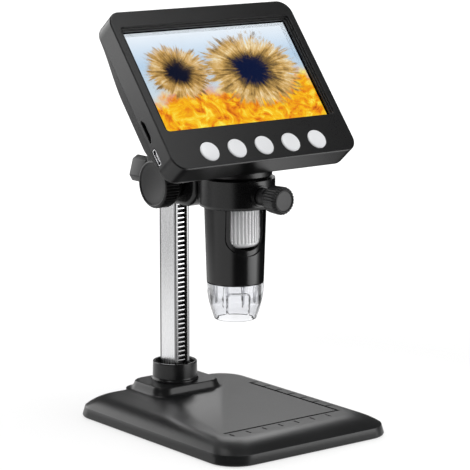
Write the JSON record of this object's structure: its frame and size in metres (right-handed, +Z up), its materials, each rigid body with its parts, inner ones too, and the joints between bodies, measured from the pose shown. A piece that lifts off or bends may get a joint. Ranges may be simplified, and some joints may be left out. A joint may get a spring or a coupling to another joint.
{
  "type": "lcd digital microscope",
  "caption": "Portable digital microscope with a tilted screen on its tube, held by a geared carriage on a column over a weighted base.",
  "frame": {"origin": "on the table under the middle of the base", "axes": "+Z up, front of the base and screen towards -Y, +X to the right seen from the front"},
  "size_m": [0.1124, 0.1423, 0.208],
  "materials": {
    "base_plastic": "half-gloss black moulding",
    "pad_rubber": "fine matt rubber",
    "plate_steel": "zinc plated sheet",
    "screw_steel": "plated screws",
    "collar_plastic": "half-gloss black moulding",
    "column_aluminium": "fine brushed along the bar",
    "rack_metal": "satin metal",
    "carriage_plastic": "half-gloss black moulding",
    "liner_plastic": "slippery black plastic",
    "knob_plastic": "fine ridged black plastic",
    "bush_plastic": "slippery black plastic",
    "case_plastic": "fine-grained black moulding",
    "back_plastic": "fine-grained black moulding",
    "glass": "clear flat cover",
    "panel": "lit picture",
    "key_plastic": "pale glossy push key",
    "board": "green circuit board",
    "part_black": "black electronic part",
    "battery_wrap": "wrapped cell",
    "socket_metal": "plated shell",
    "tube_plastic": "half-gloss black moulding",
    "wheel_plastic": "silvery ridged wheel",
    "lens_glass": "coated lens",
    "led": "white lamp chip",
    "clear_plastic": "clear moulded hood"
  },
  "bodies": {
    "stand": {"base_shell": "base_plastic", "base_plate": "plate_steel", "base_pad": "pad_rubber", "ballast": "plate_steel", "base_screws": "screw_steel", "foot_plate": "plate_steel", "foot_screws": "screw_steel", "column_bolt": "screw_steel", "column_collar": "collar_plastic", "column": "column_aluminium", "column_cap": "collar_plastic", "rack": "rack_metal"},
    "carriage": {"carriage_body": "carriage_plastic", "guide_liner": "liner_plastic", "brake_pad": "liner_plastic", "shaft_bushes": "bush_plastic", "ring_liner": "liner_plastic"},
    "drive": {"pinion_gear": "rack_metal", "drive_shaft": "screw_steel", "knob_left": "knob_plastic", "knob_right": "knob_plastic"},
    "column_lock": {"lock_knob": "knob_plastic", "lock_stud": "screw_steel"},
    "head_clamp": {"thumb_knob": "knob_plastic", "thumb_stud": "screw_steel"},
    "head": {"front_bezel": "case_plastic", "back_shell": "back_plastic", "case_screws": "screw_steel", "screen_glass": "glass", "lcd_panel": "panel", "key_board": "board", "key_switches": "part_black", "main_board": "board", "battery": "battery_wrap", "usb_port": "socket_metal", "card_socket": "socket_metal", "barrel_tube": "tube_plastic", "wheel_retainer": "part_black", "sensor_board": "board", "image_sensor": "part_black", "led_board": "board", "leds": "led", "hood": "clear_plastic"},
    "focus": {"focus_wheel": "wheel_plastic"},
    "lens_unit": {"lens_carrier": "part_black", "lens": "lens_glass"},
    "button_1": {"key_1": "key_plastic"},
    "button_2": {"key_2": "key_plastic"},
    "button_3": {"key_3": "key_plastic"},
    "button_4": {"key_4": "key_plastic"},
    "button_5": {"key_5": "key_plastic"}
  },
  "joints": [
    {"name": "column_slide", "type": "slide", "parent": "stand", "child": "carriage", "axis": [0, 0, 1], "range_m": [-0.044, 0.045]},
    {"name": "drive_turn", "type": "hinge", "parent": "carriage", "child": "drive", "pos_m": [0, 0.03483, 0.12], "axis": [-1, 0, 0], "range_deg": [-331, 339]},
    {"name": "column_lock_turn", "type": "hinge", "parent": "carriage", "child": "column_lock", "pos_m": [0, 0.066, 0.1206], "axis": [0, 1, 0], "range_deg": [0, 270]},
    {"name": "head_clamp_turn", "type": "hinge", "parent": "carriage", "child": "head_clamp", "pos_m": [0, -0.035, 0.1195], "axis": [0, -1, 0], "range_deg": [0, 270]},
    {"name": "head_turn", "type": "hinge", "parent": "carriage", "child": "head", "pos_m": [0, -0.0034, 0.1195], "axis": [0, 0, 1], "range_deg": [-14, 14]},
    {"name": "focus_turn", "type": "hinge", "parent": "head", "child": "focus", "pos_m": [0, -0.0034, 0.103], "axis": [0, 0, 1], "range_deg": [-120, 120]},
    {"name": "lens_slide", "type": "slide", "parent": "head", "child": "lens_unit", "axis": [0, 0, 1], "range_m": [-0.00314, 0.00314]},
    {"name": "button_1_press", "type": "slide", "parent": "head", "child": "button_1", "axis": [0, 0.7727, -0.6347], "range_m": [0, 0.0006], "stiffness_N_per_m": 400},
    {"name": "button_2_press", "type": "slide", "parent": "head", "child": "button_2", "axis": [0, 0.7727, -0.6347], "range_m": [0, 0.0006], "stiffness_N_per_m": 400},
    {"name": "button_3_press", "type": "slide", "parent": "head", "child": "button_3", "axis": [0, 0.7727, -0.6347], "range_m": [0, 0.0006], "stiffness_N_per_m": 400},
    {"name": "button_4_press", "type": "slide", "parent": "head", "child": "button_4", "axis": [0, 0.7727, -0.6347], "range_m": [0, 0.0006], "stiffness_N_per_m": 400},
    {"name": "button_5_press", "type": "slide", "parent": "head", "child": "button_5", "axis": [0, 0.7727, -0.6347], "range_m": [0, 0.0006], "stiffness_N_per_m": 400}
  ],
  "couplings": [
    {"joint": "drive_turn", "follows": "column_slide", "rad_per_m": 130.9},
    {"joint": "focus_turn", "follows": "lens_slide", "rad_per_m": 666.67}
  ]
}
